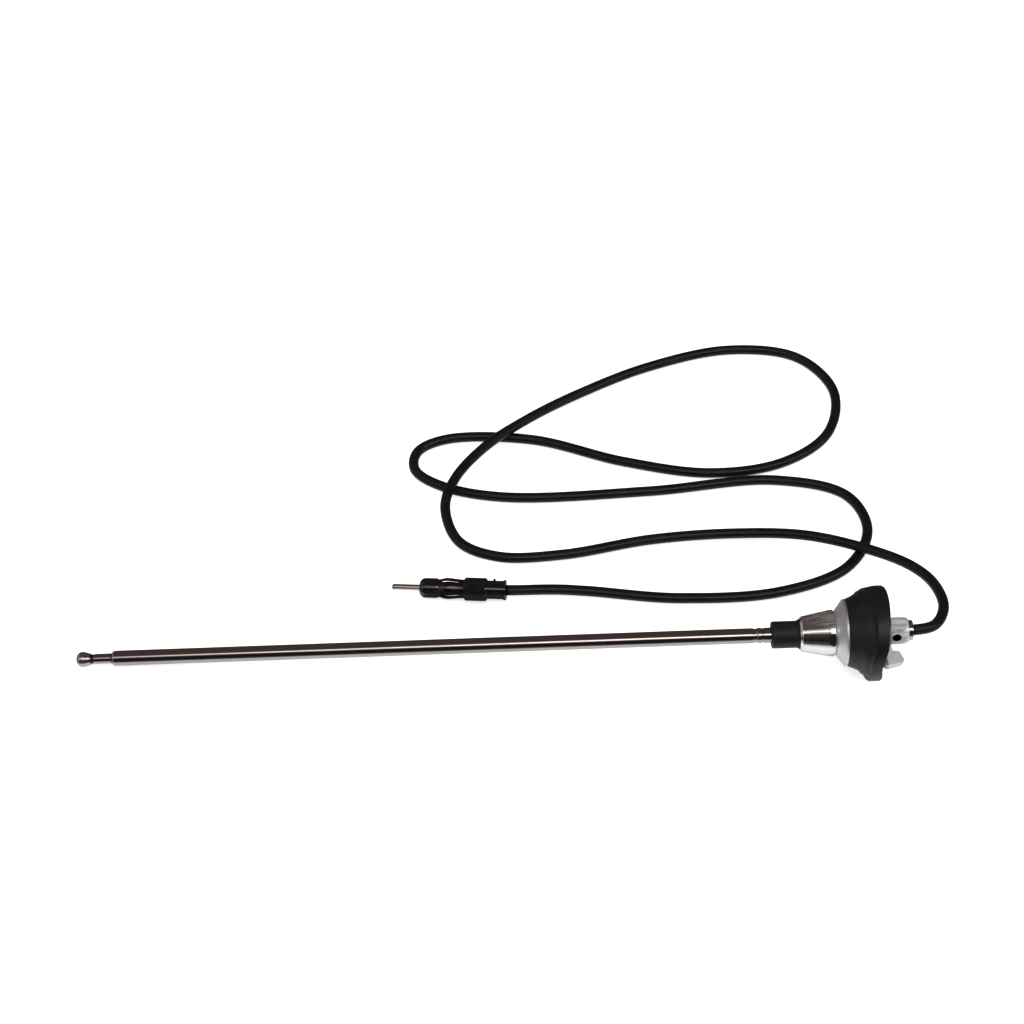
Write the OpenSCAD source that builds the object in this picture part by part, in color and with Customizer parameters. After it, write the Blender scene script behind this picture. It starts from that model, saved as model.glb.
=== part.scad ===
// Telescopic truck antenna with its mounting base, cable and radio plug, lying on a table.
// Millimetres. The origin is the middle of the gasket's underside, on the axis of the stem.
// The mast points along -X, the cable leaves along +X and +Z is up.
// Places along the stem are called stations: minus towards the mast's tip, plus towards the cable.

/* [Mast] */
// Outside diameter of the outer tube
outer_tube_d = 7.2; // [7:0.1:7.6]
// Outside diameter of the middle tube
middle_tube_d = 4.8; // [4.6:0.1:4.9]
// Diameter of the inner rod
rod_d = 3; // [2.8:0.1:3.1]
// Wall of both tubes
tube_wall = 0.45; // [0.4:0.05:0.5]
// Running gap between a tube and what slides in it, on the radius
slide_gap = 0.05; // [0.03:0.01:0.08]
// Length of outer tube that shows between its mouth and the collar
outer_tube_run = 309.5; // [220:0.5:400]
// Length of middle tube that shows while the mast is pushed in
middle_tube_show = 9.3; // [6:0.1:14]
// Largest diameter of the tip cap
tip_cap_d = 7.1; // [6.6:0.1:8]
// Length of the tip cap
tip_cap_len = 7.9; // [7:0.1:9]

/* [Collar] */
// Diameter of the insulating collar
collar_d = 12.7; // [12:0.1:13.4]
// Length of collar that shows above the nut
collar_show = 13.1; // [10:0.1:16]
// Diameter of the flare at the collar's lower end
flare_d = 14.2; // [13.8:0.1:14.2]

/* [Clamp nut] */
// Outside diameter of the nut behind the chamfer of its mouth
nut_mouth_d = 16.8; // [16.2:0.1:17.4]
// Diameter of the nut's foot
nut_base_d = 21.8; // [21.4:0.1:22.4]
// Height of the nut
nut_len = 16; // [14:0.5:18]
// Distance across the wrench flats
nut_flats = 20.9; // [20.6:0.1:21.2]

/* [Cone washer] */
// Diameter of the washer's top
washer_top_d = 20.4; // [19:0.1:22]
// Diameter of the washer's foot
washer_foot_d = 31.2; // [29:0.1:33]
// Height of the washer
washer_h = 5.2; // [4:0.1:6]

/* [Gasket] */
// Diameter of the rubber flange
flange_d = 44; // [43:0.1:47]
// Height of the gasket under the washer, on the stem's axis
gasket_h = 15.8; // [14:0.1:18]
// Thickness of the flange
flange_t = 5.3; // [5:0.1:6]
// Angle between the flange and the stem's square face
flange_tilt = 5.8; // [0:0.1:6.5]
// How far the flange stands off the stem's axis
flange_slip = 1; // [0:0.1:1]

/* [Stem] */
// Diameter over the stem's thread
stem_d = 14; // [13.6:0.1:14]
// Diameter of the neck that the claw hangs on
neck_d = 9; // [8:0.1:9.4]
// Distance across the flats of the stem's end
stem_flats = 12; // [11.6:0.1:12.4]
// Diameter of the hole in one flat
side_hole_d = 4.2; // [3:0.1:4.2]

/* [Claw] */
// Distance from the stem's axis to the back of each fluke
claw_reach = 17.6; // [17.2:0.1:17.8]
// Width of the claw's arms
claw_w = 8; // [7:0.1:8.5]
// Tilt of the claw as it lies
claw_tilt = 11; // [8:0.5:12]

/* [Cable] */
// Outside diameter of the cable
cable_d = 5.2; // [4.8:0.1:5.2]
// Diameter of the crimped ferrule
ferrule_d = 9.7; // [9.4:0.1:10]

/* [Plug] */
// Diameter of the centre pin
pin_d = 3; // [2.8:0.1:3.2]
// Length of pin that shows
pin_show = 13.6; // [12:0.1:15]
// Diameter of the nose
nose_d = 9.7; // [9.4:0.1:10]
// Length of the nose
nose_len = 9.6; // [8:0.1:10.5]
// Length of the sprung barrel
barrel_len = 12.3; // [11:0.1:14]
// Diameter of the finger grip
grip_d = 11.9; // [11.6:0.1:13]
// Length of the finger grip
grip_len = 11.2; // [9:0.1:13]
// Length of the tail behind the grip
tail_len = 9.4; // [7:0.1:12]

/* [Hidden] */
$fn = 48;
// Longer than any piece that a cutter has to clear
far = 60;
// Steps in each computed arc of a profile
arc_steps = 8;

// Stations along the stem
washer_foot = -gasket_h;
washer_top = washer_foot - washer_h;
nut_base = washer_top - 0.05;
nut_mouth = nut_base - nut_len;
collar_face = nut_mouth - collar_show;
outer_mouth = collar_face - outer_tube_run;
middle_mouth = outer_mouth - middle_tube_show;
cap_root = middle_mouth - 0.1;
tip_end = cap_root - tip_cap_len;
// Where the mast's foot sits in the collar, and where the collar sits on the stem
outer_foot = collar_face + 9.8;
collar_seat = nut_mouth + 6;
// Feet of the two parts that slide, and the length of their friction bushes
bush_len = 12;
stud_top = collar_face - 16;
middle_foot = stud_top - 6;
rod_foot = middle_foot - 18;
// Radii of the mast
outer_r = outer_tube_d / 2;
outer_bore_r = outer_r - tube_wall;
middle_r = middle_tube_d / 2;
middle_bore_r = middle_r - tube_wall;
rod_r = rod_d / 2;
cap_r = tip_cap_d / 2;
cap_dome = 2.8;
// Two rolled grooves near the foot of the outer tube: station and length, radial depth
wide_groove = [collar_face - 8.6, 2.4, 0.3];
narrow_groove = [collar_face - 4.4, 1, 0.3];
// Stem
stem_r = stem_d / 2;
stem_bore_r = 4.6;
shank_r = 2.5;
neck_top = -3.2;
hex_start = 5.2;
hex_end = 13.2;
ferrule_end = 15.4;
hole_station = 7.35;
cable_r = cable_d / 2;
insulator_top = -12;
insulator_foot = -9;
dielectric_r = 1.7;
// Gasket
flange_r = flange_d / 2;
rim_round = 0.5;
front_round = 0.9;
recess_r = 19.2;
recess_depth = 5;
roof_depth = 6.8;
// Directions round the stem: 180 is straight up, 270 towards the viewer's side
high_side = 215;
slip_side = 315;
hex_flat_side = 197;
hole_side = 256;
nut_corner_side = 30;
claw_side = 295;
mark_side = 225;
// Claw
claw_station = 2;
claw_web = 2.2;
claw_slot_len = 15;
claw_slot_w = 9.8;
tooth_tip = -4.2;

// The mast lies on its tip cap and on the back edge of the flange, which sets its slope
cap_touch = tip_end + cap_dome;
function drop_at(slope) =
  let (
    n = cos(flange_tilt) * sin(slope) + sin(flange_tilt) * cos(high_side) * cos(slope),
    x = flange_slip * cos(slip_side - high_side),
    y = flange_slip * sin(slip_side - high_side),
    across = x * cos(flange_tilt) * cos(high_side) - y * sin(high_side)
  )
  rim_round * (1 + n) + (flange_r - rim_round) * sqrt(1 - n * n)
  + across * cos(slope) - x * sin(flange_tilt) * sin(slope);
function slope_for(drop) = asin(drop / norm([cap_touch, cap_r])) + atan(cap_r / cap_touch);
rest_tilt = slope_for(drop_at(slope_for(flange_r)));
floor_z = -drop_at(rest_tilt);
stem_dir = [cos(rest_tilt), 0, sin(rest_tilt)];

// Plug, by distance from the tip of its pin. It lies on its grip and on its nose.
pin_root_r = 1.1;
nose_round = 2.9;
leaf_t = 0.45;
nose_front = pin_show;
nose_back = nose_front + nose_len;
barrel_back = nose_back + barrel_len;
grip_back = barrel_back + grip_len;
tail_end = grip_back + tail_len;
nose_touch = nose_front + nose_round;
grip_touch = barrel_back + 1;
tail_r = 4.55;
pip_side = 135;
plug_tilt = atan((grip_d - nose_d) / 2 / (grip_touch - nose_touch));
plug_yaw = -5.4;
plug_place = [-193, 42.6];
plug_dir = [cos(plug_tilt) * cos(plug_yaw), cos(plug_tilt) * sin(plug_yaw), sin(plug_tilt)];
plug_grip_point = [plug_place[0], plug_place[1], floor_z + grip_d / 2 / cos(plug_tilt)];

// Route of the cable: X, Y and the height of its middle above the table
cable_route = [
  [26, 3.4, 22.9], [33, 17, 20.6], [31.5, 36, 17], [23, 52, 12.8], [4, 67.3, 8.5],
  [-24, 77.8, 7], [-58, 83, 3.2], [-100, 79.5, 2.6], [-145, 69, 2.6], [-177, 67.5, 2.6],
  [-197, 77, 3.4], [-204.5, 97, 7], [-200, 117, 8.6], [-184, 142, 8.6], [-164, 162.5, 7.4],
  [-135, 188.5, 3.2], [-95, 212, 2.6], [-50, 226, 2.6], [-14, 220, 2.6], [3.5, 193, 2.6],
  [-3.5, 157.5, 2.6], [-30, 135, 2.6], [-68, 127.5, 2.6], [-112, 136, 2.6], [-160, 153, 2.6],
  [-205, 153.5, 2.6], [-220, 144, 2.6], [-221, 130, 2.6], [-207, 118, 2.6], [-175, 109.8, 2.6],
  [-100, 114, 2.6], [-35, 122, 2.6], [0, 111.5, 2.6], [8.5, 87, 2.6], [-5, 60, 2.6],
  [-40, 43.5, 2.6], [-90, 39.5, 2.6], [-145, 44.8, 3]
];
cable_sides = 10;
// One ring for each of these lengths, and one more for each of these angles that it turns through
ring_spacing = 36;
ring_turn = 28;
cable_exit = ferrule_end * stem_dir;
cable_plug_end = plug_grip_point + (tail_end - grip_touch) * plug_dir;
route_points = concat(
  [cable_exit],
  [for (p = cable_route) [p[0], p[1], floor_z + p[2]]],
  [cable_plug_end]
);
route_last = len(route_points) - 1;

// Points along an arc in a profile, about c with radius r, from angle a0 to a1
function arc(c, r, a0, a1) =
  [for (i = [0 : arc_steps]) let (a = a0 + (a1 - a0) * i / arc_steps) c + r * [cos(a), sin(a)]];

// A groove in a profile of radius r: where = [station, length, depth]
function groove(r, where) = [
  [r, where[0]],
  [r - where[2], where[0] + where[1] / 4],
  [r - where[2], where[0] + where[1] * 3 / 4],
  [r, where[0] + where[1]]
];

// The same groove, met from the other end of the profile
function groove_back(r, where) = [for (i = [3 : -1 : 0]) groove(r, where)[i]];

// The cable's curve: a Catmull-Rom spline whose knots follow the spacing of its points
function knot(a, b) = sqrt(norm(b - a));
function blend_points(a, b, ta, tb, t) = (a * (tb - t) + b * (t - ta)) / (tb - ta);
function spline_point(p, u) =
  let (
    t1 = knot(p[0], p[1]),
    t2 = t1 + knot(p[1], p[2]),
    t3 = t2 + knot(p[2], p[3]),
    t = t1 + (t2 - t1) * u,
    a1 = blend_points(p[0], p[1], 0, t1, t),
    a2 = blend_points(p[1], p[2], t1, t2, t),
    a3 = blend_points(p[2], p[3], t2, t3, t),
    b1 = blend_points(a1, a2, 0, t2, t),
    b2 = blend_points(a2, a3, t1, t3, t)
  )
  blend_points(b1, b2, t1, t2, t);
function on_table(p) = [p[0], p[1], max(p[2], floor_z + cable_r)];
function route_at(i) =
  i < 0 ? route_points[0] - stem_dir * norm(route_points[1] - route_points[0])
  : i > route_last ? cable_plug_end - plug_dir * norm(route_points[route_last] - route_points[route_last - 1])
  : route_points[i];
function turn_at(i) =
  let (a = route_at(i) - route_at(i - 1), b = route_at(i + 1) - route_at(i))
  acos(min(1, a * b / norm(a) / norm(b)));
function rings_in(i) = max(1, round(
  norm(route_at(i + 1) - route_at(i)) / ring_spacing + (turn_at(i) + turn_at(i + 1)) / 2 / ring_turn
));
function ring_centres() = concat(
  [for (i = [0 : route_last - 1])
    for (k = [0 : rings_in(i) - 1])
      on_table(spline_point([for (j = [i - 1 : i + 2]) route_at(j)], k / rings_in(i)))],
  [route_points[route_last]]
);
function unit(v) = v / norm(v);

// Turns a piece modelled upright, with its stations up Z, to lie along the stem
module on_stem() rotate([0, 90 - rest_tilt, 0]) children();

// Turns a piece modelled upright, from the tip of the pin up, to lie as the plug lies
module on_plug()
  translate(plug_grip_point)
    rotate([0, 90 - plug_tilt, plug_yaw])
      translate([0, 0, -grip_touch])
        children();

// A ring or a disc between two stations
module tube(outer, inner, low, high)
  translate([0, 0, low])
    difference() {
      cylinder(r = outer, h = high - low);
      if (inner > 0) translate([0, 0, -1]) cylinder(r = inner, h = high - low + 2);
    }

// Turned cap with a domed end and a waist, bored for the rod
module tip_cap() color("silver") on_stem() rotate_extrude()
  polygon(concat(
    [for (i = [0 : arc_steps]) let (a = 90 * i / arc_steps)
      [cap_r * sin(a), tip_end + cap_dome * (1 - cos(a))]],
    [for (i = [1 : arc_steps]) let (u = i / arc_steps)
      [cap_r - (cap_r - 2.5) * (1 - cos(120 * u)) / 1.5,
       cap_touch + (cap_root - 0.7 - cap_touch) * u]],
    [[2.1, cap_root - 0.6], [2.1, cap_root - 0.1], [2.4, cap_root], [rod_r, cap_root],
     [rod_r, cap_root - 4.5], [0, cap_root - 4.5]]
  ));

// Solid rod, riveted into the cap
module mast_rod() color("silver") on_stem()
  translate([0, 0, cap_root - 4.5]) cylinder(r = rod_r, h = rod_foot - cap_root + 4.5);

// Sprung sleeve that grips the wall of the tube round it, slit along its side
module friction_bush(inner_r, outer_r, foot)
  difference() {
    tube(outer_r, inner_r, foot - bush_len, foot);
    translate([0, -0.4, foot - bush_len - 1]) cube([far, 0.8, bush_len + 2]);
    for (side = [120, 240])
      rotate([0, 0, side])
        translate([0, -0.3, foot - bush_len + 2]) cube([far, 0.6, bush_len - 4]);
  }

module rod_friction_bush() color("goldenrod") on_stem()
  friction_bush(rod_r, middle_bore_r - slide_gap, rod_foot);

// Tube with its mouth rolled in to a lip that holds back the bush
module rolled_tube(r, bore, lip, mouth, foot, outside, inside) rotate_extrude()
  polygon(concat(
    [[lip, mouth], [lip + 0.25, mouth]],
    [for (i = [1 : arc_steps]) let (a = 90 * i / arc_steps)
      [lip + 0.25 + (r - lip - 0.25) * sin(a), mouth + 1.7 * (1 - cos(a))]],
    outside,
    [[r, foot], [bore, foot]],
    inside,
    [[bore, mouth + 1.8], [lip, mouth + 1.1]]
  ));

module mast_middle_tube() color("gainsboro") on_stem()
  rolled_tube(middle_r, middle_bore_r, rod_r + slide_gap, middle_mouth, middle_foot, [], []);

module middle_tube_friction_bush() color("goldenrod") on_stem()
  friction_bush(middle_r, outer_bore_r - slide_gap, middle_foot);

// Outer tube, rolled into two grooves of the stud at its foot
module mast_outer_tube() color("gainsboro") on_stem()
  rolled_tube(
    outer_r, outer_bore_r, middle_r + slide_gap, outer_mouth, outer_foot,
    concat(groove(outer_r, wide_groove), groove(outer_r, narrow_groove)),
    concat(groove_back(outer_bore_r, narrow_groove), groove_back(outer_bore_r, wide_groove))
  );

// Turned stud that carries the mast's foot and takes the signal down through the collar
module mast_stud() color("goldenrod") on_stem() rotate_extrude()
  polygon(concat(
    [[0, stud_top], [outer_bore_r - 0.6, stud_top], [outer_bore_r, stud_top + 0.6]],
    groove(outer_bore_r, wide_groove),
    groove(outer_bore_r, narrow_groove),
    [[outer_bore_r, outer_foot], [shank_r, outer_foot], [shank_r, insulator_top],
     [1.2, insulator_top], [1.2, insulator_foot - 0.5], [0, insulator_foot - 0.5]]
  ));

// Moulded collar: a socket for the mast, a flare under the nut and a sleeve down the stem
module insulating_collar() color("#222226") on_stem() rotate_extrude()
  polygon([
    [outer_r, collar_face + 0.7], [outer_r + 0.7, collar_face], [collar_d / 2 - 0.6, collar_face],
    [collar_d / 2, collar_face + 0.6], [collar_d / 2, nut_mouth - 1.4],
    [flare_d / 2, nut_mouth - 0.1], [flare_d / 2, nut_mouth + 0.9], [6.7, nut_mouth + 1.4],
    [6.7, collar_seat], [stem_bore_r, collar_seat], [stem_bore_r, insulator_top],
    [shank_r, insulator_top], [shank_r, outer_foot], [outer_r, outer_foot]
  ]);

// Bush that holds the end of the stud clear of the stem
module lower_insulator() color("ivory") on_stem()
  tube(stem_bore_r, dielectric_r, insulator_top, insulator_foot);

// Threaded stem with a waisted neck and a hexagonal end that is turned down to the ferrule
module threaded_stem() color("silver") on_stem()
  difference() {
    union() {
      rotate_extrude() polygon([
        [0, collar_seat], [stem_r - 0.5, collar_seat], [stem_r, collar_seat + 0.5],
        [stem_r, neck_top - 0.8], [stem_r - 0.8, neck_top], [neck_d / 2, neck_top],
        [neck_d / 2, hex_start], [0, hex_start]
      ]);
      intersection() {
        rotate([0, 0, hex_flat_side + 30])
          translate([0, 0, hex_start]) cylinder(d = stem_flats / cos(30), h = hex_end - hex_start, $fn = 6);
        rotate_extrude() polygon([
          [0, hex_start], [6.5, hex_start], [7, hex_start + 0.5], [7, hex_end - 4.2],
          [6.8, hex_end - 3.2], [6.5, hex_end - 2], [6.2, hex_end - 1.1], [5.9, hex_end - 0.4],
          [5.4, hex_end - 0.1], [4.9, hex_end], [0, hex_end]
        ]);
      }
    }
    tube(stem_bore_r, 0, collar_seat - 1, insulator_foot);
    tube(cable_r, 0, insulator_foot - 1, hex_end + 1);
    rotate([0, 0, hole_side])
      translate([0, 0, hole_station]) rotate([0, 90, 0]) cylinder(d = side_hole_d, h = far);
  }

// Conical nut with a chamfered mouth, six small flats near its foot and a bore over the collar
module clamp_nut() color("silver") on_stem()
  difference() {
    intersection() {
      rotate_extrude() polygon(concat(
        [[0, nut_mouth], [nut_mouth_d / 2 - 1, nut_mouth]],
        arc([nut_mouth_d / 2 - 0.4, nut_mouth + 1.2], 0.4, -45, 20),
        [[nut_base_d / 2 - 0.35, nut_base - 3.4], [nut_base_d / 2 - 0.1, nut_base - 2.4],
         [nut_base_d / 2, nut_base - 1.2], [nut_base_d / 2, nut_base - 0.5],
         [nut_base_d / 2 - 0.5, nut_base], [0, nut_base]]
      ));
      rotate([0, 0, nut_corner_side])
        translate([0, 0, nut_mouth - 1]) cylinder(d = nut_flats / cos(30), h = nut_len + 2, $fn = 6);
    }
    tube(flare_d / 2 + 0.25, 0, nut_mouth - 1, nut_mouth + 9);
    tube(stem_r + 0.05, 0, nut_mouth + 8, nut_base + 1);
  }

// Pressed conical washer of even wall
module cone_washer() color("lightgray") on_stem() rotate_extrude()
  polygon([
    [stem_r + 0.3, washer_top], [washer_top_d / 2 - 0.6, washer_top], [washer_top_d / 2, washer_top + 0.3],
    [washer_foot_d / 2 - 0.1, washer_foot - 1], [washer_foot_d / 2, washer_foot - 0.7],
    [washer_foot_d / 2, washer_foot], [washer_foot_d / 2 - 1.4, washer_foot],
    [washer_top_d / 2 - 1, washer_top + 1.5], [stem_r + 0.3, washer_top + 1.5]
  ]);

// Moulded rubber gasket: a hollow cone that stands square, on a flange cut on the slant
module rubber_gasket() color("#26262a") on_stem()
  difference() {
    union() {
      rotate_extrude() polygon(concat(
        [[stem_r + 0.1, washer_top + 1.7], [washer_top_d / 2 - 1.1, washer_top + 1.7],
         [washer_foot_d / 2 - 1.7, washer_foot + 0.05], [washer_foot_d / 2 - 0.5, washer_foot + 0.05]],
        arc([washer_foot_d / 2 - 0.5, washer_foot + 0.75], 0.7, -90, -20),
        [[17.6, -10.8], [18.9, -7.9], [19.6, -5.6], [19.6, -3], [stem_r + 0.1, -3]]
      ));
      slanted() rotate_extrude() polygon(concat(
        [[15, -9.9], [17.2, -9.4], [18.4, -8.2], [19.4, -6.7], [20.2, -5.6]],
        arc([flange_r - front_round, front_round - flange_t], front_round, -90, 0),
        arc([flange_r - rim_round, -rim_round], rim_round, 0, 90),
        [[15, 0]]
      ));
    }
    slanted() rotate_extrude() polygon([
      [0, 1], [recess_r, 1], [recess_r, -recess_depth], [recess_r - 2.2, -roof_depth], [0, -roof_depth]
    ]);
    tube(stem_r + 0.1, 0, washer_top, 1);
    slanted() rotate([0, 0, mark_side - high_side])
      translate([flange_r - 0.6, -0.7, -3.3]) cube([2, 1.4, 6]);
  }

// Turns children from the stem's square face to the flange's slant, and moves them off its axis
module slanted()
  rotate([0, 0, high_side])
    rotate([0, -flange_tilt, 0])
      rotate([0, 0, slip_side - high_side])
        translate([flange_slip, 0, 0])
          rotate([0, 0, high_side - slip_side])
            children();

// Cast claw: a ring with two arms that end in flukes, gabled behind and toothed in front
module claw() color("lightgray") on_stem()
  translate([0, 0, claw_station]) rotate([0, -claw_tilt, claw_side])
    difference() {
      intersection() {
        union() {
          translate([0, 0, -1.5]) cylinder(r = 9.6, h = claw_web);
          translate([-claw_reach, -claw_w / 2, -1.5]) cube([2 * claw_reach, claw_w, claw_web]);
          for (end = [0, 180]) rotate([0, 0, end]) fluke();
        }
        translate([0, 0, -far / 2]) cylinder(r = claw_reach, h = far);
      }
      translate([0, 0, -far / 2]) slot(claw_slot_len, claw_slot_w, far);
    }

// Upright prism with round ends, centred on Z
module slot(length, width, height)
  linear_extrude(height) {
    square([length - width, width], center = true);
    for (x = [-1, 1] * (length - width) / 2) translate([x, 0]) circle(d = width);
  }

// One fluke of the claw, with three teeth that bite the underside of the panel
module fluke()
  difference() {
    translate([0, claw_w / 2, 0]) rotate([90, 0, 0]) linear_extrude(claw_w)
      polygon([
        [11, 0.7], [11.6, 3.6], [16.4, 4.8], [claw_reach + 0.4, 2.8], [claw_reach + 0.4, -1.6],
        [16.4, tooth_tip], [12.8, tooth_tip], [11.4, -1.5]
      ]);
    for (i = [-1.5 : 1.5])
      translate([far / 2, i * claw_w / 3, tooth_tip]) rotate([0, -90, 0]) linear_extrude(far)
        polygon([[-0.1, -0.9], [1.4, 0], [-0.1, 0.9]]);
  }

// Sleeve that holds the cable in the stem
module cable_ferrule() color("silver") on_stem() rotate_extrude()
  polygon([
    [cable_r, hex_end], [ferrule_d / 2, hex_end], [ferrule_d / 2, ferrule_end - 0.7],
    [ferrule_d / 2 - 0.2, ferrule_end - 0.2], [ferrule_d / 2 - 0.7, ferrule_end], [cable_r, ferrule_end]
  ]);

// The cable's end inside the stem: jacket, bared dielectric and centre conductor
module cable_inner_end() color("#1c1c1f") on_stem() rotate_extrude()
  polygon([
    [0, insulator_foot - 0.5], [0.6, insulator_foot - 0.5], [0.6, insulator_foot],
    [dielectric_r, insulator_foot], [dielectric_r, 1], [cable_r, 1], [cable_r, ferrule_end],
    [0, ferrule_end]
  ]);

// The free cable, swept along its route
module antenna_cable() {
  centres = ring_centres();
  last = len(centres) - 1;
  points = [
    for (i = [0 : last])
      let (
        along = i == 0 ? stem_dir : i == last ? -plug_dir : unit(centres[i + 1] - centres[i - 1]),
        side = unit(cross(along, [0, 0, 1])),
        up = cross(side, along)
      )
      for (k = [0 : cable_sides - 1])
        let (a = 360 * k / cable_sides) centres[i] + cable_r * (cos(a) * side + sin(a) * up)
  ];
  walls = [
    for (i = [0 : last - 1])
      for (k = [0 : cable_sides - 1])
        let (a = i * cable_sides, b = a + cable_sides, n = (k + 1) % cable_sides)
        [a + k, b + k, b + n, a + n]
  ];
  first_face = [for (k = [0 : cable_sides - 1]) k];
  last_face = [for (k = [cable_sides - 1 : -1 : 0]) last * cable_sides + k];
  color("#1c1c1f") polyhedron(points, concat([first_face], walls, [last_face]));
}

// Centre pin with a rounded tip and a thinner root that is moulded into the nose
module plug_pin() color("silver") on_plug() rotate_extrude()
  polygon(concat(
    [[0, 0]],
    arc([pin_d / 2 - 0.9, 0.9], 0.9, -90, 0),
    [[pin_d / 2, nose_front], [pin_root_r, nose_front], [pin_root_r, barrel_back - 4], [0, barrel_back - 4]]
  ));

// Moulded nose, with a core that carries the pin and the barrel
module plug_nose() color("#1b1b1d") on_plug() rotate_extrude()
  polygon(concat(
    [[pin_root_r, nose_front]],
    arc([nose_d / 2 - nose_round, nose_front + nose_round], nose_round, -90, 0),
    [[nose_d / 2, nose_back - 1.1], [nose_d / 2 - 0.5, nose_back], [3.2, nose_back],
     [3.2, barrel_back], [pin_root_r, barrel_back]]
  ));

// Ground sleeve, slit into four leaves that bulge to grip a socket
function leaf_r(u) = 4.3 + 0.3 * u + 0.8 * pow(sin(180 * pow(u, 0.65)), 2);
module plug_barrel() color("#2a2628") on_plug()
  difference() {
    rotate_extrude() polygon(concat(
      [for (i = [0 : arc_steps]) let (u = i / arc_steps) [leaf_r(u), nose_back + barrel_len * u]],
      [for (i = [arc_steps : -1 : 0]) let (u = i / arc_steps)
        [leaf_r(u) - leaf_t, nose_back + barrel_len * u]]
    ));
    for (side = [0, 90])
      rotate([0, 0, side])
        translate([-far / 2, -0.5, nose_back + 1]) cube([far, 1, barrel_len - 2]);
  }

// Finger grip and tail, moulded as one over the end of the cable
module plug_grip() color("#1b1b1d") on_plug() {
  difference() {
    rotate_extrude() polygon([
      [0, barrel_back], [grip_d / 2 - 1, barrel_back], [grip_d / 2, grip_touch],
      [grip_d / 2, grip_back - 1], [grip_d / 2 - 1, grip_back], [tail_r, grip_back],
      [tail_r, tail_end - 1.5], [tail_r + 0.4, tail_end - 1.2], [tail_r + 0.4, tail_end - 0.3],
      [tail_r + 0.1, tail_end], [0, tail_end]
    ]);
    for (side = [0 : 45 : 315])
      rotate([0, 0, side])
        translate([grip_d / 2 - 0.35, -far / 2, barrel_back - 1]) cube([far, far, grip_len + 1]);
  }
  rotate([0, 0, pip_side]) translate([tail_r - 0.5, -0.8, grip_back + 3]) cube([1.4, 1.6, 1]);
}

tip_cap();
mast_rod();
rod_friction_bush();
mast_middle_tube();
middle_tube_friction_bush();
mast_outer_tube();
mast_stud();
insulating_collar();
lower_insulator();
threaded_stem();
clamp_nut();
cone_washer();
rubber_gasket();
claw();
cable_ferrule();
cable_inner_end();
antenna_cable();
plug_pin();
plug_nose();
plug_barrel();
plug_grip();
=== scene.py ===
import bpy
import math

import bmesh
from mathutils import Matrix, Vector


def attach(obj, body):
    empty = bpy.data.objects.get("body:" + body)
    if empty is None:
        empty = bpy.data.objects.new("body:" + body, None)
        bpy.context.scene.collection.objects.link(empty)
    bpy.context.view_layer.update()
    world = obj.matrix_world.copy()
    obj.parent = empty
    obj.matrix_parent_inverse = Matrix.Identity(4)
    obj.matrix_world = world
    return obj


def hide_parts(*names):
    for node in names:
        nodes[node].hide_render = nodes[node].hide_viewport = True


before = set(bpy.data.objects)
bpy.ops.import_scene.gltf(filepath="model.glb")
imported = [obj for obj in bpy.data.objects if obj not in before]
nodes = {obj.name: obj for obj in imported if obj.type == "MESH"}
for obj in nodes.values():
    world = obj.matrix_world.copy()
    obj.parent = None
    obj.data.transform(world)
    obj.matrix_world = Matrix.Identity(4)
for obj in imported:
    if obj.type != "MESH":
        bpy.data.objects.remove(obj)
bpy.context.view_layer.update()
MM = 0.001

# The mast lies on its tip cap and on the back edge of the slanted flange, as in the CAD
FLANGE_R, RIM_ROUND = 22 * MM, 0.5 * MM
FLANGE_TILT, HIGH_SIDE = math.radians(5.8), math.radians(215)
FLANGE_SLIP, SLIP_SIDE = 1 * MM, math.radians(315)
# The cap's radius, and the place along the mast where the cap lies on the table
CAP_R, CAP_TOUCH = 3.55 * MM, -374.15 * MM


def drop_at(slope):
    """How far below the origin the flange's edge reaches when the mast has this slope."""
    n = math.cos(FLANGE_TILT) * math.sin(slope)
    n += math.sin(FLANGE_TILT) * math.cos(HIGH_SIDE) * math.cos(slope)
    x = FLANGE_SLIP * math.cos(SLIP_SIDE - HIGH_SIDE)
    y = FLANGE_SLIP * math.sin(SLIP_SIDE - HIGH_SIDE)
    across = x * math.cos(FLANGE_TILT) * math.cos(HIGH_SIDE) - y * math.sin(HIGH_SIDE)
    drop = RIM_ROUND * (1 + n) + (FLANGE_R - RIM_ROUND) * math.sqrt(1 - n * n)
    return drop + across * math.cos(slope) - x * math.sin(FLANGE_TILT) * math.sin(slope)


def slope_for(drop):
    """The slope at which the cap lies on the table when the flange's edge reaches down so far."""
    return math.asin(drop / math.hypot(CAP_TOUCH, CAP_R)) + math.atan(CAP_R / CAP_TOUCH)


REST_TILT = slope_for(drop_at(slope_for(FLANGE_R)))
FLOOR_Z = -drop_at(REST_TILT)
STEM_DIR = Vector((math.cos(REST_TILT), 0, math.sin(REST_TILT)))

# The plug, by distance from the tip of its pin
GRIP_R, NOSE_R = 5.95 * MM, 4.85 * MM
GRIP_TOUCH, NOSE_TOUCH, TAIL_END = 36.5 * MM, 16.5 * MM, 56.1 * MM
PLUG_TILT = math.atan((GRIP_R - NOSE_R) / (GRIP_TOUCH - NOSE_TOUCH))
PLUG_YAW = math.radians(-5.4)
PLUG_DIR = Vector((
    math.cos(PLUG_TILT) * math.cos(PLUG_YAW),
    math.cos(PLUG_TILT) * math.sin(PLUG_YAW),
    math.sin(PLUG_TILT),
))
GRIP_POINT = Vector((-193 * MM, 42.6 * MM, FLOOR_Z + GRIP_R / math.cos(PLUG_TILT)))
PIN_TIP = GRIP_POINT - GRIP_TOUCH * PLUG_DIR

# Camera
CAMERA_AT = Vector((-0.1707, -0.5972, 0.6751))
CAMERA_PITCH = math.radians(45.04)
CAMERA_ROLL = math.radians(-0.085)
# Millimetres
LENS, SENSOR = 68, 36


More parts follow.
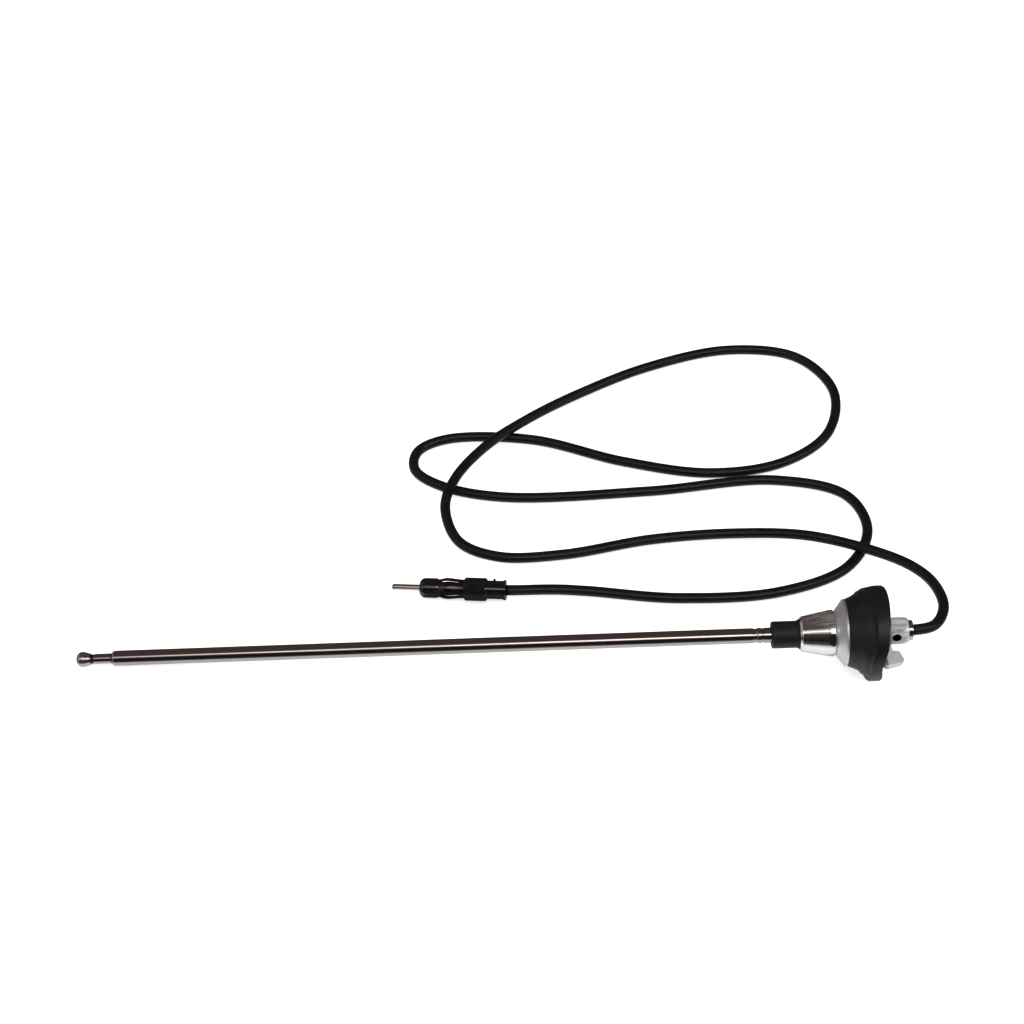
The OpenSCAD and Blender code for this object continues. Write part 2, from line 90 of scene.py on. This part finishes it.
def in_scene(name, data):
    """An object at the origin that holds the data."""
    obj = bpy.data.objects.new(name, data)
    bpy.context.scene.collection.objects.link(obj)
    return obj


def from_bmesh(name, bm):
    """An object whose mesh is the bmesh, which is freed."""
    mesh = bpy.data.meshes.new(name)
    bm.to_mesh(mesh)
    bm.free()
    return in_scene(name, mesh)


def make_camera():
    data = bpy.data.cameras.new("camera")
    data.lens = LENS
    data.sensor_width = SENSOR
    camera = in_scene("camera", data)
    camera.location = CAMERA_AT
    turn = Matrix.Rotation(CAMERA_PITCH, 3, "X") @ Matrix.Rotation(CAMERA_ROLL, 3, "Z")
    camera.rotation_euler = turn.to_euler()
    bpy.context.scene.camera = camera


make_camera()

# Cable
CABLE_R, CABLE_SIDES = 2.6 * MM, 20
# Millimetres: X, Y and the height of the cable's middle above the table, as in the CAD
CABLE_ROUTE = [
    (26, 3.4, 22.9), (33, 17, 20.6), (31.5, 36, 17), (23, 52, 12.8), (4, 67.3, 8.5),
    (-24, 77.8, 7), (-58, 83, 3.2), (-100, 79.5, 2.6), (-145, 69, 2.6), (-177, 67.5, 2.6),
    (-197, 77, 3.4), (-204.5, 97, 7), (-200, 117, 8.6), (-184, 142, 8.6), (-164, 162.5, 7.4),
    (-135, 188.5, 3.2), (-95, 212, 2.6), (-50, 226, 2.6), (-14, 220, 2.6), (3.5, 193, 2.6),
    (-3.5, 157.5, 2.6), (-30, 135, 2.6), (-68, 127.5, 2.6), (-112, 136, 2.6), (-160, 153, 2.6),
    (-205, 153.5, 2.6), (-220, 144, 2.6), (-221, 130, 2.6), (-207, 118, 2.6), (-175, 109.8, 2.6),
    (-100, 114, 2.6), (-35, 122, 2.6), (0, 111.5, 2.6), (8.5, 87, 2.6), (-5, 60, 2.6),
    (-40, 43.5, 2.6), (-90, 39.5, 2.6), (-145, 44.8, 3),
]
FERRULE_END = 15.4 * MM
CABLE_STEP = 1.6 * MM


def between(a, b, at_a, at_b, t):
    """The point at t on the line that passes a at at_a and b at at_b."""
    return (a * (at_b - t) + b * (t - at_a)) / (at_b - at_a)


def curve_point(four, knots, t):
    """A point between the middle two of four points, on the smooth curve through all of them."""
    first = [between(four[j], four[j + 1], knots[j], knots[j + 1], t) for j in range(3)]
    second = [between(first[j], first[j + 1], knots[j], knots[j + 2], t) for j in range(2)]
    return between(second[0], second[1], knots[1], knots[2], t)


def cable_line():
    """The cable's middle, from the ferrule to the plug, as points CABLE_STEP or less apart."""
    route = [FERRULE_END * STEM_DIR]
    route += [Vector((x * MM, y * MM, FLOOR_Z + z * MM)) for x, y, z in CABLE_ROUTE]
    route.append(GRIP_POINT + (TAIL_END - GRIP_TOUCH) * PLUG_DIR)
    before = route[0] - STEM_DIR * (route[1] - route[0]).length
    after = route[-1] - PLUG_DIR * (route[-1] - route[-2]).length
    guides = [before, *route, after]
    points = []
    for i in range(len(route) - 1):
        four = guides[i : i + 4]
        knots = [0.0]
        for a, b in zip(four, four[1:]):
            knots.append(knots[-1] + (b - a).length ** 0.5)
        steps = max(2, math.ceil((four[2] - four[1]).length / CABLE_STEP))
        for k in range(steps):
            t = knots[1] + (knots[2] - knots[1]) * k / steps
            points.append(curve_point(four, knots, t))
    points.append(route[-1])
    for p in points:
        p.z = max(p.z, FLOOR_Z + CABLE_R)
    return points


def make_cable(line):
    """A closed round tube along the line, with UVs that run in metres along it, and its length."""
    bm = bmesh.new()
    uv = bm.loops.layers.uv.new("UVMap")
    steps = [(b - a).length for a, b in zip(line, line[1:])]
    runs = [sum(steps[:i]) for i in range(len(line))]
    turns = [2 * math.pi * k / CABLE_SIDES for k in range(CABLE_SIDES)]
    ways = [(b - a).normalized() for a, b in zip(line, line[2:])]
    rings = []
    for middle, way in zip(line, [STEM_DIR, *ways, -PLUG_DIR]):
        side = way.cross(Vector((0, 0, 1))).normalized()
        up = side.cross(way)
        out = [math.cos(a) * side + math.sin(a) * up for a in turns]
        rings.append([bm.verts.new(middle + CABLE_R * v) for v in out])
    for i in range(len(rings) - 1):
        for k in range(CABLE_SIDES):
            n = (k + 1) % CABLE_SIDES
            f = bm.faces.new((rings[i][k], rings[i][n], rings[i + 1][n], rings[i + 1][k]))
            f.smooth = True
            corners = (i, k), (i, k + 1), (i + 1, k + 1), (i + 1, k)
            for loop, (ring, turn) in zip(f.loops, corners):
                loop[uv].uv = (runs[ring], turn / CABLE_SIDES)
    bm.faces.new(rings[0][::-1])
    bm.faces.new(rings[-1])
    bmesh.ops.recalc_face_normals(bm, faces=bm.faces)
    return from_bmesh("free_cable", bm), runs[-1]


line = cable_line()
cable, cable_length = make_cable(line)
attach(cable, "base")
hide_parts("antenna_cable")

# Gasket
FLANGE_T, CONE_RUN = 5.3 * MM, 9 * MM
# Inside the hub the gasket stays as moulded, and from there to the lip the bend grows
HUB_R, LIP_R = 15 * MM, 19.5 * MM
# Outside this radius the rim is cut into rings, at these depths from its back face, so it can swell
RIM_INNER, RIM_CUTS = 20.8 * MM, (1.4 * MM, 2.4 * MM)
# How far the flange's front and back faces move along the stem: all round, and more at some sides
FRONT_ALL, FRONT_FAR, FRONT_NEAR = 0.8 * MM, 2.2 * MM, 1.7 * MM
BACK_ALL, BACK_HIGH, BACK_LOW, BACK_NEAR = 0.3 * MM, 2.1 * MM, 0.4 * MM, 1.9 * MM
# How far the rim swells at the far top, how much less its front does, and where that starts
SWELL, SWELL_LESS, SWELL_FROM = 0.6 * MM, 1.6 * MM, 0.3 * FLANGE_T
# Higher powers keep a bend closer to its side of the flange
FAR_POWER, FRONT_POWER, BACK_POWER = 6, 6, 16
CREASE, DOUBLES = math.radians(35), 0.001 * MM
SQUARE_TO_STEM = Matrix.Rotation(math.pi / 2 - REST_TILT, 3, "Y")
SLANT = Matrix.Rotation(HIGH_SIDE, 3, "Z") @ Matrix.Rotation(-FLANGE_TILT, 3, "Y")
FLANGE_DIR = SQUARE_TO_STEM @ SLANT @ Vector((0, 0, 1))
FAR_TOP = Vector((0, 1, 1)).normalized()


def smooth(value, a, b):
    """0 up to a, 1 from b on, and an even rise between."""
    t = min(max((value - a) / (b - a), 0), 1)
    return t * t * (3 - 2 * t)


def off_stem(vertex):
    """A vertex's place square to the stem's axis."""
    return vertex.co - vertex.co.dot(STEM_DIR) * STEM_DIR


def flange_bend(depth, out):
    """How far rubber at a depth from the flange's back face moves along the stem."""
    high = out.normalized().dot(FAR_TOP)
    near = max(-out.normalized().y, 0)
    front = FRONT_ALL + FRONT_FAR * max(high, 0) ** FAR_POWER + FRONT_NEAR * near**FRONT_POWER
    back = (BACK_HIGH if high > 0 else BACK_LOW) * high - BACK_ALL - BACK_NEAR * near**BACK_POWER
    bend = back - (front + back) * min(max(depth / FLANGE_T, 0), 1)
    return bend * (1 - smooth(depth, FLANGE_T, FLANGE_T + CONE_RUN))


def soft_gasket():
    """The CAD's gasket with its soft flange thickest at the far top and bent back at the near side."""
    bm = bmesh.new()
    bm.from_mesh(nodes["rubber_gasket"].data)
    bmesh.ops.remove_doubles(bm, verts=bm.verts, dist=DOUBLES)
    for depth in RIM_CUTS:
        rim = [f for f in bm.faces if all(off_stem(v).length > RIM_INNER for v in f.verts)]
        rim += {e for f in rim for e in f.edges}
        bmesh.ops.bisect_plane(bm, geom=rim, plane_co=-depth * FLANGE_DIR, plane_no=FLANGE_DIR)
    for v in bm.verts:
        out, depth = off_stem(v), -v.co.dot(FLANGE_DIR)
        swell = SWELL - SWELL_LESS * smooth(depth, SWELL_FROM, FLANGE_T)
        swell *= smooth(out.length, LIP_R, FLANGE_R) * max(out.normalized().dot(FAR_TOP), 0)
        v.co += smooth(out.length, HUB_R, LIP_R) * flange_bend(depth, out) * STEM_DIR
        v.co += swell * FAR_TOP
    for f in bm.faces:
        f.smooth = True
    for e in bm.edges:
        e.smooth = e.calc_face_angle(math.pi) < CREASE
    obj = from_bmesh("soft_gasket", bm)
    obj.data.attributes.remove(obj.data.attributes["custom_normal"])
    return obj


gasket = soft_gasket()
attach(gasket, "base")
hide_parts("rubber_gasket")


# Materials
class Shading:
    """Shader nodes in one tree. A value is a number, a colour or another node's output."""

    def __init__(self, tree):
        self.tree = tree

    def node(self, kind, **values):
        n = self.tree.nodes.new(kind)
        for key, value in values.items():
            setattr(n, key, value)
        return n

    def put(self, value, socket):
        """Gives a socket its value."""
        if isinstance(value, tuple):
            socket.default_value = (*value, 1)
        elif isinstance(value, (int, float)):
            socket.default_value = value
        else:
            self.tree.links.new(value, socket)

    def maths(self, how, a, b=0):
        n = self.node("ShaderNodeMath", operation=how)
        self.put(a, n.inputs[0])
        self.put(b, n.inputs[1])
        return n.outputs["Value"]

    def ramp(self, value, a, b, low=0, high=1):
        """Value from a to b mapped to low to high, clamped."""
        n = self.node("ShaderNodeMapRange")
        keys = "Value", "From Min", "From Max", "To Min", "To Max"
        for key, v in zip(keys, (value, a, b, low, high)):
            self.put(v, n.inputs[key])
        return n.outputs["Result"]

    def blend(self, fac, a, b):
        """Colour a where fac is 0 and b where it is 1."""
        n = self.node("ShaderNodeMix", data_type="RGBA")
        for key, v in zip(("Factor", "A", "B"), (fac, a, b)):
            self.put(v, n.inputs[key])
        return n.outputs["Result"]


class Look(Shading):
    """A material with mottled colour, uneven roughness and bump, all from Object coordinates."""

    def __init__(self, name, colour, rough, metal=0.0, gloss=0.5):
        self.material = bpy.data.materials.new(name)
        self.material.use_nodes = True
        super().__init__(self.material.node_tree)
        self.shader = self.tree.nodes["Principled BSDF"]
        self.colour, self.rough, self.height = colour, rough, 0
        self.put(colour, self.shader.inputs["Base Color"])
        self.put(rough, self.shader.inputs["Roughness"])
        self.put(metal, self.shader.inputs["Metallic"])
        self.put(gloss, self.shader.inputs["Specular IOR Level"])

    def place(self):
        return self.node("ShaderNodeTexCoord").outputs["Object"]

    def noise(self, scale, detail, turn=(0, 0, 0), stretch=(1, 1, 1)):
        """Noise on coordinates that are turned and then stretched."""
        place = self.place()
        for key, value in (("Rotation", turn), ("Scale", stretch)):
            mapping = self.node("ShaderNodeMapping")
            mapping.inputs[key].default_value = value
            self.put(place, mapping.inputs["Vector"])
            place = mapping.outputs["Vector"]
        n = self.node("ShaderNodeTexNoise")
        self.put(scale, n.inputs["Scale"])
        self.put(detail, n.inputs["Detail"])
        self.put(place, n.inputs["Vector"])
        return n.outputs["Fac"]

    def spread(self, noise, low, high):
        """Noise, most of which lies between 0.3 and 0.7, mapped to low to high."""
        return self.ramp(noise, 0.3, 0.7, low, high)

    def vector(self, how, a, b):
        n = self.node("ShaderNodeVectorMath", operation=how)
        self.put(a, n.inputs[0])
        n.inputs[1].default_value = b
        return n.outputs

    def along(self, direction):
        """Distance along a direction from the origin, in metres."""
        return self.vector("DOT_PRODUCT", self.place(), direction)["Value"]

    def from_stem(self):
        """Distance from the stem's axis, in metres."""
        square = self.vector("CROSS_PRODUCT", self.place(), STEM_DIR)["Vector"]
        return self.vector("LENGTH", square, (0, 0, 0))["Value"]

    def band(self, value, rise, fall):
        """0 before the rise, 1 between it and the fall, and 0 past the fall."""
        return self.maths("MULTIPLY", self.ramp(value, *rise), self.ramp(value, *fall, 1, 0))

    def tint(self, fac, other):
        """Blends the colour so far towards another one."""
        self.colour = self.blend(fac, self.colour, other)
        self.put(self.colour, self.shader.inputs["Base Color"])

    def roughen(self, *parts):
        """Adds to the roughness."""
        for part in parts:
            self.rough = self.maths("ADD", part, self.rough)
        self.put(self.rough, self.shader.inputs["Roughness"])

    def bump(self, height, depth):
        """Adds a height, in units of depth metres."""
        self.height = self.maths("ADD", self.maths("MULTIPLY", height, depth), self.height)

    def done(self):
        if self.height:
            n = self.node("ShaderNodeBump")
            self.put(1.0, n.inputs["Distance"])
            self.put(self.height, n.inputs["Height"])
            self.put(n.outputs["Normal"], self.shader.inputs["Normal"])
        return self.material


def shade(colour, share):
    return tuple(share * c for c in colour)


STEM_TURN = (0, REST_TILT, 0)
ALONG, AROUND = (0.02, 1, 1), (1, 0.03, 0.03)
# Painted shade: the colour of the dark rings at the gaps and grooves near the tip
GROOVE_SHADE = (0.05, 0.032, 0.03)
# The hole in the stem's hexagonal end gets painted shade between these stations, inside this radius
HOLE_START, HOLE_STOP = (5.3 * MM, 5.5 * MM), (11.4 * MM, 11.9 * MM)
HOLE_R, HOLE_EDGE_R, HOLE_SHADE = 5.7 * MM, 6.1 * MM, (0.012, 0.01, 0.01)
# The nut is hazed above this height over the stem's axis, measured a little towards the far side
HAZE_UP, HAZE_FROM, HAZE_FULL = (0, 0.34, 0.94), 5.6 * MM, 7.6 * MM
# The pin is darkened up to the first of these distances from its tip, and keeps its own colour from the
# second on
PIN_DARK, PIN_PLAIN = 0.4 * MM, 1.4 * MM


def plated(name, colour, rough, grain, stretch, streak=0.05, lines=2e-6, groove_shade=()):
    """Polished plate over drawn or turned metal, with painted shade in rings at some stations, at the
    gaps and grooves near the tip.
    """
    k = Look(name, colour, rough, 1.0)
    fine = k.noise(grain, 4, STEM_TURN, stretch)
    broad = k.noise(45, 3)
    k.tint(k.ramp(broad, 0.35, 0.7, 0, 0.5), shade(colour, 0.82))
    k.roughen(k.spread(fine, -streak / 2, streak), k.spread(broad, 0, streak))
    k.bump(fine, lines)
    k.bump(k.noise(300, 2, STEM_TURN, stretch), 4e-6)
    # Painted shade: a dark ring round each station, with a ragged edge
    for station, half in groove_shade:
        off = k.maths("ABSOLUTE", k.maths("SUBTRACT", k.along(STEM_DIR), station * MM))
        off = k.maths("ADD", off, k.spread(broad, 0, 0.2 * MM))
        k.tint(k.ramp(off, half * MM, (half + 0.3) * MM, 0.85, 0), GROOVE_SHADE)
    return k.done()


def cast_chrome(name, colour, rough):
    """Chrome over a casting: slightly wavy, and hazed in streaks on the side that lies uppermost."""
    k = Look(name, colour, rough, 1.0)
    fine = k.noise(1500, 3, STEM_TURN, (0.1, 1, 1))
    smear = k.noise(620, 3, STEM_TURN, (0.12, 1, 1))
    upper = k.ramp(k.along(HAZE_UP), HAZE_FROM, HAZE_FULL)
    haze = k.maths("MULTIPLY", k.ramp(smear, 0.38, 0.54, 0, 0.46), upper)
    k.tint(k.ramp(k.noise(200, 3), 0.45, 0.62, 0, 0.5), shade(colour, 0.8))
    k.roughen(haze, k.ramp(smear, 0.4, 0.65, 0, 0.04), k.spread(fine, -0.02, 0.03))
    k.bump(fine, 1.5e-6)
    k.bump(k.noise(150, 1, STEM_TURN, (0.6, 1, 1)), 3e-5)
    return k.done()


def brushed_stem(name, colour, rough):
    """Brushed and polished streaks side by side under a pale bloom, and painted shade in the side hole.
    """
    k = Look(name, colour, rough, 0.75)
    streak = k.noise(700, 3, STEM_TURN, (0.1, 1, 1))
    fine = k.noise(2400, 3, STEM_TURN, (0.3, 1, 1))
    k.tint(k.ramp(streak, 0.5, 0.62, 0, 0.7), shade(colour, 0.6))
    k.roughen(k.ramp(streak, 0.38, 0.6, 0.2, 0), k.spread(fine, -0.03, 0.05))
    # Painted shade inside the side hole
    hole = k.band(k.along(STEM_DIR), HOLE_START, HOLE_STOP)
    k.tint(k.maths("MULTIPLY", hole, k.ramp(k.from_stem(), HOLE_R, HOLE_EDGE_R, 1, 0)), HOLE_SHADE)
    k.bump(streak, 8e-6)
    k.bump(fine, 3e-6)
    return k.done()


def satin_metal(name, colour, rough, grain, depth, turn=(0, 0, 0), stretch=(1, 1, 1)):
    """Pressed, cast or drawn metal with a mottled satin skin."""
    k = Look(name, colour, rough, 1.0)
    fine = k.noise(grain, 5, turn, stretch)
    broad = k.noise(120, 4)
    k.tint(k.ramp(broad, 0.3, 0.75, 0, 0.7), shade(colour, 0.72))
    k.roughen(k.spread(fine, -0.08, 0.1), k.spread(broad, -0.05, 0.08))
    k.bump(fine, depth)
    return k.done()


def moulded(name, colour, rough, grain, depth, dust, gloss):
    """Plastic or rubber with a fine skin and a faint bloom of dust."""
    k = Look(name, colour, rough, 0, gloss)
    fine = k.noise(grain, 5)
    broad = k.noise(90, 4)
    k.tint(k.ramp(broad, 0.42, 0.8, 0, 0.6), tuple(c + dust for c in colour))
    k.tint(k.ramp(fine, 0.55, 0.8, 0, 0.5), shade(colour, 0.5))
    k.roughen(k.spread(fine, -0.06, 0.08), k.spread(broad, -0.05, 0.1))
    k.bump(fine, depth)
    return k.done()


def plated_pin(name, colour, rough):
    """Plate that darkens at the pin's rounded tip."""
    k = Look(name, colour, rough, 1.0)
    tip = PIN_TIP.dot(PLUG_DIR)
    fine = k.noise(1500, 4)
    edge = k.maths("ADD", k.along(PLUG_DIR), k.spread(fine, -0.3 * MM, 0.3 * MM))
    k.tint(k.ramp(edge, tip + PIN_DARK, tip + PIN_PLAIN, 0.85, 0), (0.1, 0.08, 0.08))
    k.roughen(k.spread(fine, -0.04, 0.1))
    k.bump(fine, 4e-6)
    return k.done()


# A ring of painted shade has a station along the stem and half a width, in millimetres
mast_plate = plated(
    "mast_plate", (0.46, 0.43, 0.415), rough=0.07, grain=2600, stretch=ALONG,
    groove_shade=[(-368.7, 0.4), (-359.8, 0.4)],
)
cap_plate = plated(
    "cap_plate", (0.52, 0.48, 0.47), rough=0.17, grain=1800, stretch=AROUND, streak=0.08,
    groove_shade=[(-369.5, 0.5)],
)
ferrule_plate = plated(
    "turned_plate", (0.6, 0.57, 0.56), rough=0.08, grain=1800, stretch=AROUND, streak=0.06, lines=4e-6,
)
nut_chrome = cast_chrome("nut_chrome", (0.93, 0.92, 0.93), rough=0.07)
stem_zinc = brushed_stem("stem_zinc", (0.93, 0.94, 0.94), rough=0.36)
pressed_steel = satin_metal(
    "pressed_steel", (0.9, 0.9, 0.9), rough=0.47, grain=1600, depth=3e-6, turn=STEM_TURN,
    stretch=(0.3, 1, 1),
)
cast_zinc = satin_metal("cast_zinc", (0.88, 0.9, 0.91), rough=0.58, grain=900, depth=1e-5)
brass = satin_metal(
    "brass", (0.75, 0.56, 0.27), rough=0.28, grain=1800, depth=1.2e-5, turn=STEM_TURN, stretch=AROUND,
)
barrel_steel = satin_metal("barrel_steel", (0.09, 0.072, 0.07), rough=0.16, grain=2000, depth=2e-6)
pin_metal = plated_pin("pin_plate", (0.8, 0.7, 0.67), rough=0.09)
collar_plastic = moulded(
    "collar_plastic", (0.006, 0.006, 0.0085), rough=0.45, grain=1500, depth=1.5e-5, dust=0.006, gloss=0.3,
)
gasket_rubber = moulded(
    "gasket_rubber", (0.0045, 0.0043, 0.006), rough=0.4, grain=1100, depth=1.2e-5, dust=0.008, gloss=0.4,
)
jacket = moulded(
    "jacket", (0.004, 0.0035, 0.004), rough=0.34, grain=1800, depth=8e-6, dust=0.004, gloss=0.3,
)
plug_plastic = moulded(
    "plug_plastic", (0.002, 0.002, 0.0024), rough=0.07, grain=1200, depth=5e-7, dust=0.002, gloss=1.0,
)
insulation = moulded(
    "insulation", (0.75, 0.72, 0.64), rough=0.5, grain=1200, depth=1e-5, dust=-0.05, gloss=0.5,
)

looks = {
    "tip_cap": cap_plate, "mast_rod": mast_plate, "rod_friction_bush": brass,
    "mast_middle_tube": mast_plate, "middle_tube_friction_bush": brass,
    "mast_outer_tube": mast_plate, "mast_stud": brass, "insulating_collar": collar_plastic,
    "lower_insulator": insulation, "threaded_stem": stem_zinc, "clamp_nut": nut_chrome,
    "cone_washer": pressed_steel, "rubber_gasket": gasket_rubber, "claw": cast_zinc,
    "cable_ferrule": ferrule_plate, "cable_inner_end": jacket, "antenna_cable": jacket,
    "plug_pin": pin_metal, "plug_nose": plug_plastic, "plug_barrel": barrel_steel,
    "plug_grip": plug_plastic,
}
dressed = [(nodes[name], look) for name, look in looks.items()]
dressed += [(cable, jacket), (gasket, gasket_rubber)]
for piece, look in dressed:
    piece.data.materials.clear()
    piece.data.materials.append(look)

# Floor
PAPER_HALF, PAPER_GAP = 3, 0.1 * MM
# Past the tip cap the paper falls away, a little steeper than the mast, to leave room to pull it out
FALL_FROM, FALL = -376 * MM, 0.065
# The paper's colour to the camera, in reflections and for the rest, and the painted dark
# reflection that it takes where reflections graze it
PAPER_SEEN, PAPER_MIRRORED, PAPER_LIT = (0.9, 0.9, 0.9), (0.85, 0.87, 0.87), (0.5, 0.5, 0.5)
PAPER_REFLECTED_DARK, GRAZING = (0.02, 0.015, 0.014), (0.4, 0.74)
PAPER_ROUGH = 0.8
# Part of the paper's white glows for the camera, which leaves the shadows faint
PAPER_GLOW = 0.62
# A patch of paper round the plug, dark only in reflections, is a painted dark reflection that keeps the
# paper out of the plug's lower faces
DARK_REFLECTION, DARK_REFLECTION_X = (0.14, 0.13, 0.13), ((-218 * MM, -214 * MM), (-175 * MM, -168 * MM))
DARK_REFLECTION_Y = ((18 * MM, 26 * MM), (60 * MM, 70 * MM))


def make_floor():
    bm = bmesh.new()
    bmesh.ops.create_grid(bm, x_segments=1, y_segments=1, size=PAPER_HALF)
    whole = [*bm.verts, *bm.edges, *bm.faces]
    bmesh.ops.bisect_plane(bm, geom=whole, plane_co=(FALL_FROM, 0, 0), plane_no=(1, 0, 0))
    for v in bm.verts:
        v.co.z = FLOOR_Z - PAPER_GAP - FALL * max(FALL_FROM - v.co.x, 0)
    return from_bmesh("floor", bm)


def paper():
    """White paper, which the camera and reflections see in their own ways."""
    k = Look("paper", PAPER_LIT, PAPER_ROUGH)
    rays = k.node("ShaderNodeLightPath").outputs
    seen, mirrored = rays["Is Camera Ray"], rays["Is Glossy Ray"]
    facing = k.node("ShaderNodeLayerWeight").outputs["Facing"]
    k.tint(seen, PAPER_SEEN)
    k.tint(mirrored, PAPER_MIRRORED)
    # Painted dark reflection: the paper turns dark in reflections that graze it
    k.tint(k.maths("MULTIPLY", k.ramp(facing, *GRAZING), mirrored), PAPER_REFLECTED_DARK)
    # Painted dark reflection round the plug
    dark_reflection = k.maths("MULTIPLY", mirrored, k.band(k.along((1, 0, 0)), *DARK_REFLECTION_X))
    k.tint(k.maths("MULTIPLY", dark_reflection, k.band(k.along((0, 1, 0)), *DARK_REFLECTION_Y)), DARK_REFLECTION)
    k.put((1, 1, 1), k.shader.inputs["Emission Color"])
    k.put(k.maths("MULTIPLY", seen, PAPER_GLOW), k.shader.inputs["Emission Strength"])
    return k.done()


floor = make_floor()
floor.data.materials.append(paper())

# Light
# The room is bright for what it lights, and white to the camera. Reflections show a dark brown room
# with a light wall past the mast's tip and one long lamp over the camera.
ROOM_LIT, ROOM_SEEN = (0.8, 0.8, 0.8), (1, 1, 1)
# Heights are angles over the camera's side of the horizon
LOW, HIGH = math.radians(15), math.radians(80)
WALLS_LOW, WALLS_HIGH = (0.014, 0.01, 0.009), (0.085, 0.062, 0.057)
LAMP_HEIGHT = math.radians(58.5)
# Where the lamp and the brighter tube inside it fade, as angles from the lamp's middle
LAMP_EDGE, LAMP = (math.radians(10), math.radians(14)), (1.6, 1.52, 1.5)
TUBE_EDGE, TUBE = (math.radians(2), math.radians(3)), (6, 5.7, 5.6)
# Where the end wall begins and the lamp dims to its least, by X, which is -1 past the mast's tip
WALL_EDGE, WALL = (-0.5, -0.8), (0.3, 0.3, 0.3)
LAMP_DIMS, LAMP_LEAST = (-0.3, 0.03), 0.25
KEY_AT, KEY_SIZE = (-0.15, -0.43, 1.2), (1.6, 0.8)
KEY_WATTS, KEY_COLOUR = 10, (1, 0.98, 0.97)


class Room(Shading):
    """The world's colours by direction."""

    def __init__(self, tree):
        super().__init__(tree)
        xyz = self.node("ShaderNodeSeparateXYZ")
        self.put(self.node("ShaderNodeTexCoord").outputs["Generated"], xyz.inputs[0])
        self.x = xyz.outputs["X"]
        forward = self.maths("MULTIPLY", xyz.outputs["Y"], -1)
        self.height = self.maths("ARCTAN2", xyz.outputs["Z"], forward)

    def mirrored(self):
        """What reflections show."""
        colour = self.blend(self.ramp(self.height, LOW, HIGH), WALLS_LOW, WALLS_HIGH)
        colour = self.blend(self.ramp(self.x, *WALL_EDGE), colour, WALL)
        off = self.maths("ABSOLUTE", self.maths("SUBTRACT", self.height, LAMP_HEIGHT))
        dim = self.ramp(self.x, *LAMP_DIMS, LAMP_LEAST, 1)
        lamp = self.maths("MULTIPLY", self.ramp(off, *LAMP_EDGE, 1, 0), dim)
        colour = self.blend(lamp, colour, LAMP)
        tube = self.maths("MULTIPLY", self.ramp(off, *TUBE_EDGE, 1, 0), lamp)
        return self.blend(tube, colour, TUBE)


def light_room():
    world = bpy.data.worlds.new("world")
    bpy.context.scene.world = world
    world.use_nodes = True
    room = Room(world.node_tree)
    rays = room.node("ShaderNodeLightPath").outputs
    colour = room.blend(rays["Is Glossy Ray"], ROOM_LIT, room.mirrored())
    colour = room.blend(rays["Is Camera Ray"], colour, ROOM_SEEN)
    room.put(colour, world.node_tree.nodes["Background"].inputs["Color"])


def key_light():
    """A wide soft light that shines straight down and that reflections don't show."""
    data = bpy.data.lights.new("key", "AREA")
    data.shape = "RECTANGLE"
    data.size, data.size_y = KEY_SIZE
    data.energy = KEY_WATTS
    data.color = KEY_COLOUR
    key = in_scene("key", data)
    key.location = KEY_AT
    key.visible_glossy = False


light_room()
key_light()
bpy.context.scene.view_settings.view_transform = "Standard"
